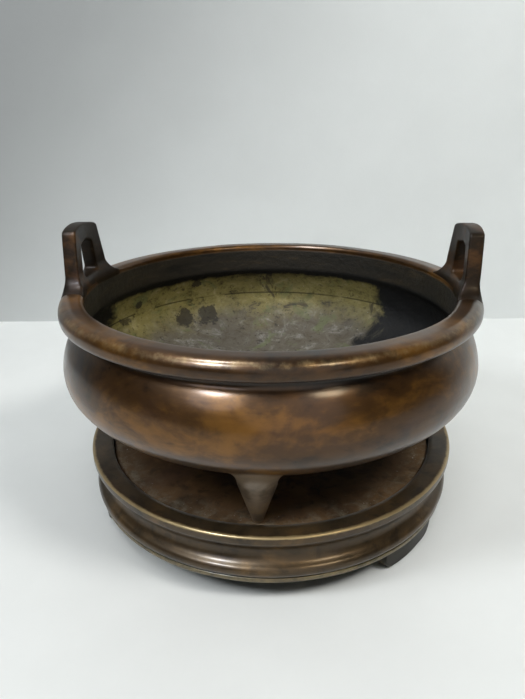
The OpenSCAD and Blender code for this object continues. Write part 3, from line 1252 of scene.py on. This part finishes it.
@dataclass
class Handle:
    """Upright loop handle, a curved plate with an arched opening that grows out of the lip."""

    bowl: Bowl
    inner_r: float = 76.4
    outer_r: float = 82.0
    top_z: float = 119.0
    shoulder_z: float = 117.4
    top_half: float = 11.8
    base_half: float = 15.75
    fillet: float = 7.0
    opening_low: float = 98.0
    opening_high: float = 111.4
    opening_rise: float = 1.0
    opening_foot: float = 7.35
    opening_head: float = 5.95
    corner: float = 1.6
    edge: float = 0.75
    sweep: float = 9.0
    sweep_top: float = 100.5
    sweep_drop: float = 5.4
    sunk_z: float = 91.5

    def outline(self) -> list[list[Point]]:
        """Draws the plate's outer outline.

        Returns:
            Four runs of points: foot, right side, crown and left side.
        """
        toe = self.base_half + self.fillet
        rim = self.bowl.rim_z
        right = [(toe, self.sunk_z), (toe, rim - 0.2),
                 *arc(toe, rim + self.fillet, self.fillet, 270, 180, 16),
                 (self.top_half, self.shoulder_z)]
        rise = self.top_z - self.shoulder_z
        radius = (self.top_half ** 2 + rise ** 2) / (2 * rise)
        lean = math.degrees(math.asin(self.top_half / radius))
        crown = arc(0.0, self.top_z - radius, radius, 90 - lean, 90 + lean, 24)
        left = [(-x, z) for x, z in right[::-1]]
        return [[(-toe, self.sunk_z), (toe, self.sunk_z)], right, crown, left]

    def opening(self) -> list[list[Point]]:
        """Draws the outline of the opening.

        Returns:
            Four runs of points: sill, right side, arched head and left side.
        """
        foot, head, c = self.opening_foot, self.opening_head, self.corner
        low, high = self.opening_low, self.opening_high
        right = [*arc(foot - c, low + c, c, 292, 360, 5), *arc(head - c, high - c, c, 0, 45, 4)]
        sill = [(-foot + c, low), (foot - c, low)]
        crown = [*arc(head - c, high - c, c, 45, 70, 2), (0.0, high + self.opening_rise),
                 *arc(-head + c, high - c, c, 110, 135, 2)]
        left = [(-x, z) for x, z in right[::-1]]
        return [sill, right, crown, left]

    def loops(self) -> tuple[list[Point], list[Point]]:
        """Both outlines with matching points.

        Returns:
            The outer outline and the opening, each evenly spaced in each run and softened.
        """
        counts = [40, 44, 30, 44]
        both = []
        for runs in (self.outline(), self.opening()):
            loop: list[Point] = []
            for run, count in zip(runs, counts):
                reach = sum(math.dist(a, b) for a, b in zip(run, run[1:]))
                loop += spaced(run, reach / count)[:count]
            both.append(eased(loop, 3, loop=True))
        return both[0], both[1]

    def out_at(self, z: float) -> float:
        """Finds the radius of the outer face, which sweeps out into the lip's roll.

        Args:
            z: Height on the handle.

        Returns:
            The radius there.
        """
        if z >= self.sweep_top:
            return self.outer_r
        drop = min(self.sweep_top - z, self.sweep_drop)
        return self.outer_r + self.sweep - math.sqrt(self.sweep ** 2 - drop ** 2)

    def in_at(self, z: float) -> float:
        """Finds the radius of the inner face, which is flush with the throat at the foot.

        Args:
            z: Height on the handle.

        Returns:
            The radius there.
        """
        rim = self.bowl.rim_z
        flush = self.bowl.throat_r - 0.06
        return self.inner_r + (flush - self.inner_r) * smooth_step(rim + 6 - z, 0.0, 7.0)

    def place(self, across: float, z: float, depth: float) -> Vector:
        """Where a point of the plate is.

        Args:
            across: Distance from the middle of the handle.
            z: Height on the outline.
            depth: 0 on the outer face and 1 on the inner face.

        Returns:
            The place in millimetres, for the handle on +X.
        """
        r = self.out_at(z) + (self.in_at(z) - self.out_at(z)) * depth
        rim = self.bowl.rim_z
        fall = rim - self.bowl.lip_top(r)
        near = 1 - smooth_step(z, rim, rim + self.fillet)
        z2 = z - (fall + 0.05) * near
        return Vector((math.sqrt(r * r - across * across), across, z2))

    def section(self, o: Point, o_out: Vector, h: Point, h_out: Vector
                ) -> list[tuple[Vector, float, float]]:
        """One slice of the plate, from the opening to the outline and back.

        Args:
            o: Point on the outer outline.
            o_out: Direction out of the outline there.
            h: Point on the opening.
            h_out: Direction out of the opening there.

        Returns:
            Points on the outline's plane, each with its depth from 0 to 1 and its wear.
        """
        outer, hole = Vector(o), Vector(h)
        thick = self.outer_r - self.inner_r
        bends = [math.radians(a) for a in (0, 25, 50, 70, 90)]
        half: list[tuple[Vector, float, float]] = []
        for a in bends:
            half.append((hole + h_out * self.edge * (1 - math.cos(a)),
                         self.edge * (1 - math.sin(a)) / thick, 1.0))
        start, stop = hole + h_out * self.edge, outer - o_out * self.edge
        half += [(start.lerp(stop, share), 0.0, 0.0) for share in (0.15, 0.38, 0.62, 0.85)]
        for a in bends[::-1]:
            half.append((outer - o_out * self.edge * (1 - math.cos(a)),
                         self.edge * (1 - math.sin(a)) / thick, 1.0))
        back = [(p, 1 - depth, wear) for p, depth, wear in half[::-1]]
        side = [(outer, share, 0.1) for share in (0.35, 0.65)]
        bore = [(hole, share, 0.0) for share in (0.65, 0.35)]
        return [*half, *side, *back, *bore]

    def build(self, node: str, turn: float) -> None:
        """Builds one handle.

        Args:
            node: The CAD node it stands for.
            turn: Its direction in degrees from +X.
        """
        outer, hole = self.loops()
        skin = Skin(node.replace("_handle", "_loop_handle"))
        spin = Matrix.Rotation(math.radians(turn), 3, "Z")
        rings = []
        for i in range(len(outer)):
            ring = []
            for p, depth, wear in self.section(outer[i], self.normal(outer, i),
                                               hole[i], self.normal(hole, i)):
                place = self.place(p.x, p.y, depth)
                uneven = wobble(place + Vector((turn, 0, 0)), 14.0, 0.12)
                place += place.xy.normalized().to_3d() * uneven
                ring.append(skin.corner(spin @ place, 0.25 * wear))
            rings.append(ring)
        for a, b in zip(rings, rings[1:] + rings[:1]):
            skin.band(a, b)
        skin.build(HANDLE_FINISH, Body.CENSER, "handle_bronze", [node], 50)

    @staticmethod
    def normal(loop: Sequence[Point], i: int) -> Vector:
        """Finds the outward direction of an outline that runs anticlockwise.

        Args:
            loop: The outline.
            i: Number of the point.

        Returns:
            The direction there.
        """
        a, b = Vector(loop[i - 1]), Vector(loop[(i + 1) % len(loop)])
        along = (b - a).normalized()
        return Vector((along.y, -along.x))


@dataclass
class Leg:
    """Pointed leg that flares into the bowl's underside."""

    bowl: Bowl
    circle_r: float = 66.5
    tip_z: float = 26.8
    tip_r: float = 2.0
    root_r: float = 7.0
    flare: float = 5.0
    sides: int = 56
    sunk: float = 1.2

    def build(self, node: str, turn: float) -> None:
        """Builds one leg.

        Args:
            node: The CAD node it stands for.
            turn: Its direction in degrees from +X.
        """
        skin = Skin(node.replace("_leg", "_pointed_leg"))
        spin = Matrix.Rotation(math.radians(turn), 3, "Z")

        def spot(a: float, r: float, z: float) -> Vector:
            """A place round the leg's axis."""
            return Vector((self.circle_r + r * math.cos(a), r * math.sin(a), z))

        def above(a: float, r: float) -> float:
            """Height of the bowl's underside over a place."""
            return self.bowl.under(spot(a, r, 0).xy.length)

        def add(r: Callable[[float], float], z: Callable[[float], float], wear: float) -> list[int]:
            """Adds one ring of corners.

            Args:
                r: Distance from the leg's axis in each direction.
                z: Height in each direction.
                wear: How rubbed the metal is.

            Returns:
                The corners' numbers.
            """
            ring = []
            for i in range(self.sides):
                a = 2 * math.pi * i / self.sides
                place = spot(a, r(a), z(a))
                place.x += wobble(place + Vector((turn, 0, 0)), 8.0, 0.1)
                ring.append(skin.corner(spin @ place, wear))
            return ring

        rings = [[skin.corner(spin @ spot(0, 0, self.tip_z))]]
        soft = 0.8
        for r, z in arc(self.tip_r - soft, self.tip_z + soft, soft, -90, -10, 5):
            rings.append(add(lambda a: r, lambda a: z, 0.6))
        low = self.tip_z + soft
        steps = 16
        for j in range(1, steps + 1):
            share = j / steps

            def height(a: float) -> float:
                """Height along the cone."""
                return low + (above(a, self.root_r) - self.flare - low) * share

            width = self.tip_r + (self.root_r - self.tip_r) * share
            rings.append(add(lambda a: width, height, 0.0))
        for j in range(1, 9):
            bend = math.pi / 2 * j / 8
            out = self.root_r + self.flare * (1 - math.cos(bend))
            drop = self.flare * (1 - math.sin(bend))
            rings.append(add(lambda a: out, lambda a: above(a, out) - drop, 0.0))
        brim = self.root_r + self.flare
        rings.append(add(lambda a: brim - 0.2, lambda a: above(a, brim) + self.sunk, 0.0))
        rings.append([skin.corner(spin @ spot(0, 0, above(0, 0) + self.sunk))])
        for a, b in zip(rings, rings[1:]):
            skin.band(a, b)
        skin.build(LEG_FINISH, Body.CENSER, "leg_bronze", [node], 60)


@dataclass
class Censer:
    """The bowl with its two handles and three legs, which lifts off the stand."""

    handle_turns: dict[str, float] = field(default_factory=lambda: {
        "right_handle": 0.0, "left_handle": 180.0})
    leg_turns: dict[str, float] = field(default_factory=lambda: {
        "front_leg": -90.0, "right_leg": 30.0, "left_leg": 150.0})

    def build(self) -> None:
        """Builds every piece of the censer."""
        bowl = Bowl()
        bowl.build()
        handle = Handle(bowl)
        for node, turn in self.handle_turns.items():
            handle.build(node, turn)
        leg = Leg(bowl)
        for node, turn in self.leg_turns.items():
            leg.build(node, turn)


# ---------------------------------------------------------------- studio


@dataclass(frozen=True)
class Lamp:
    """A square soft light aimed at the object."""

    name: str
    azimuth: float
    elevation: float
    distance: float
    size: float
    power: float
    colour: Colour
    lights: bool = True
    mirrored: bool = True


@dataclass
class Studio:
    """Pale table, pale wall, soft lights and the camera."""

    turn: float = 3.9
    eye: Vec3 = (0.0, -222.75, 156.1)
    pitch: float = 22.33
    heading: float = 0.82
    roll: float = -0.63
    lens: float = 28.33
    wall: float = 224.0
    look_at: float = 60.0
    room_light: float = 0.04
    lamps: tuple[Lamp, ...] = (
        Lamp("key", -64, 41, 1.2, 0.32, 6.2, (0.94, 0.97, 1.0), mirrored=False),
        Lamp("warm_key", 56, 52, 1.2, 0.3, 6.6, (1.0, 0.98, 0.95), mirrored=False),
        Lamp("top_fill", 0, 86, 1.5, 1.4, 4.0, (1.0, 1.0, 1.0), mirrored=False),
        Lamp("front_fill", -8, 62, 1.3, 0.6, 4.4, (1.0, 1.0, 1.0), mirrored=False),
        Lamp("glint", -36, 49, 1.2, 0.24, 13.0, (0.82, 0.9, 1.0), lights=False),
        Lamp("sky_glint", -62, 70, 1.2, 0.24, 10.0, (0.92, 0.96, 1.0), lights=False),
        Lamp("warm_glint", 37, 46, 1.2, 0.26, 4.0, (1.0, 0.84, 0.58), lights=False),
        Lamp("window", -30, 34, 1.4, 0.6, 3.4, (0.82, 0.86, 1.0), lights=False),
        Lamp("room_glow", 12, 20, 1.4, 1.3, 4.2, (1.0, 0.96, 0.9), lights=False),
    )

    def spin(self) -> Matrix:
        """Turn of the whole studio about the object's axis."""
        return Matrix.Rotation(math.radians(self.turn), 3, "Z")

    def camera(self) -> None:
        """Sets the camera."""
        data = bpy.data.cameras.new("camera")
        data.lens, data.sensor_width = self.lens, 36.0
        data.clip_start, data.clip_end = 0.01, 20.0
        made = bpy.data.objects.new("camera", data)
        bpy.context.scene.collection.objects.link(made)
        bpy.context.scene.camera = made
        p, h, r = (math.radians(v) for v in (self.pitch, -self.heading, self.roll))
        ahead = Vector((math.sin(h) * math.cos(p), math.cos(h) * math.cos(p), -math.sin(p)))
        right = Vector((math.cos(h), -math.sin(h), 0.0))
        up = right.cross(ahead)
        right2 = right * math.cos(r) + up * math.sin(r)
        up2 = up * math.cos(r) - right * math.sin(r)
        spin = self.spin()
        axes = [spin @ v for v in (right2, up2, -ahead)]
        turn = Matrix((axes[0], axes[1], axes[2])).transposed()
        made.matrix_world = Matrix.Translation(spin @ Vector(self.eye) * MM) @ turn.to_4x4()

    def light(self, lamp: Lamp) -> None:
        """Sets one soft light.

        Args:
            lamp: What the light is like and where it stands.
        """
        data = bpy.data.lights.new(lamp.name, "AREA")
        data.shape, data.size = "DISK", lamp.size
        data.energy, data.color = lamp.power, lamp.colour
        made = bpy.data.objects.new(lamp.name, data)
        bpy.context.scene.collection.objects.link(made)
        a, e = math.radians(lamp.azimuth), math.radians(lamp.elevation)
        away = Vector((math.sin(a) * math.cos(e), -math.cos(a) * math.cos(e), math.sin(e)))
        away = self.spin() @ away
        made.visible_diffuse, made.visible_glossy = lamp.lights, lamp.mirrored
        made.location = away * lamp.distance + Vector((0, 0, self.look_at * MM))
        made.rotation_mode = "QUATERNION"
        made.rotation_quaternion = (-away).to_track_quat("-Z", "Y")

    def sheet(self, name: str, corners: Sequence[Vec3], finish: Finish) -> None:
        """Sets one flat sheet of the stage.

        Args:
            name: Name of the sheet.
            corners: Its four corners in millimetres.
            finish: The finish it wears.
        """
        mesh = bpy.data.meshes.new(name)
        spin = self.spin()
        mesh.from_pydata([spin @ Vector(c) * MM for c in corners], [], [(0, 1, 2, 3)])
        mesh.materials.append(finish.material())
        made = bpy.data.objects.new(name, mesh)
        bpy.context.scene.collection.objects.link(made)

    def build(self) -> None:
        """Builds the stage, the lights and the camera."""
        far, back, high = 2500.0, self.wall, 1500.0
        self.sheet("table", [(-far, -far, 0), (far, -far, 0), (far, far, 0), (-far, far, 0)],
                   TABLE_FINISH)
        self.sheet("wall", [(-far, back, -1), (far, back, -1), (far, back, high),
                            (-far, back, high)], WALL_FINISH)
        for lamp in self.lamps:
            self.light(lamp)
        world = bpy.data.worlds.new("room")
        world.use_nodes = True
        shade = world.node_tree.nodes["Background"]
        shade.inputs["Color"].default_value = (0.85, 0.9, 1.0, 1.0)
        shade.inputs["Strength"].default_value = self.room_light
        bpy.context.scene.world = world
        bpy.context.scene.view_settings.view_transform = "Standard"
        self.camera()


def main() -> None:
    """Builds the stand, the censer and the studio in order."""
    logging.basicConfig(level=logging.INFO, format="%(name)s: %(message)s")
    Stand().build()
    Censer().build()
    Studio().build()


if __name__ == "__main__":
    main()
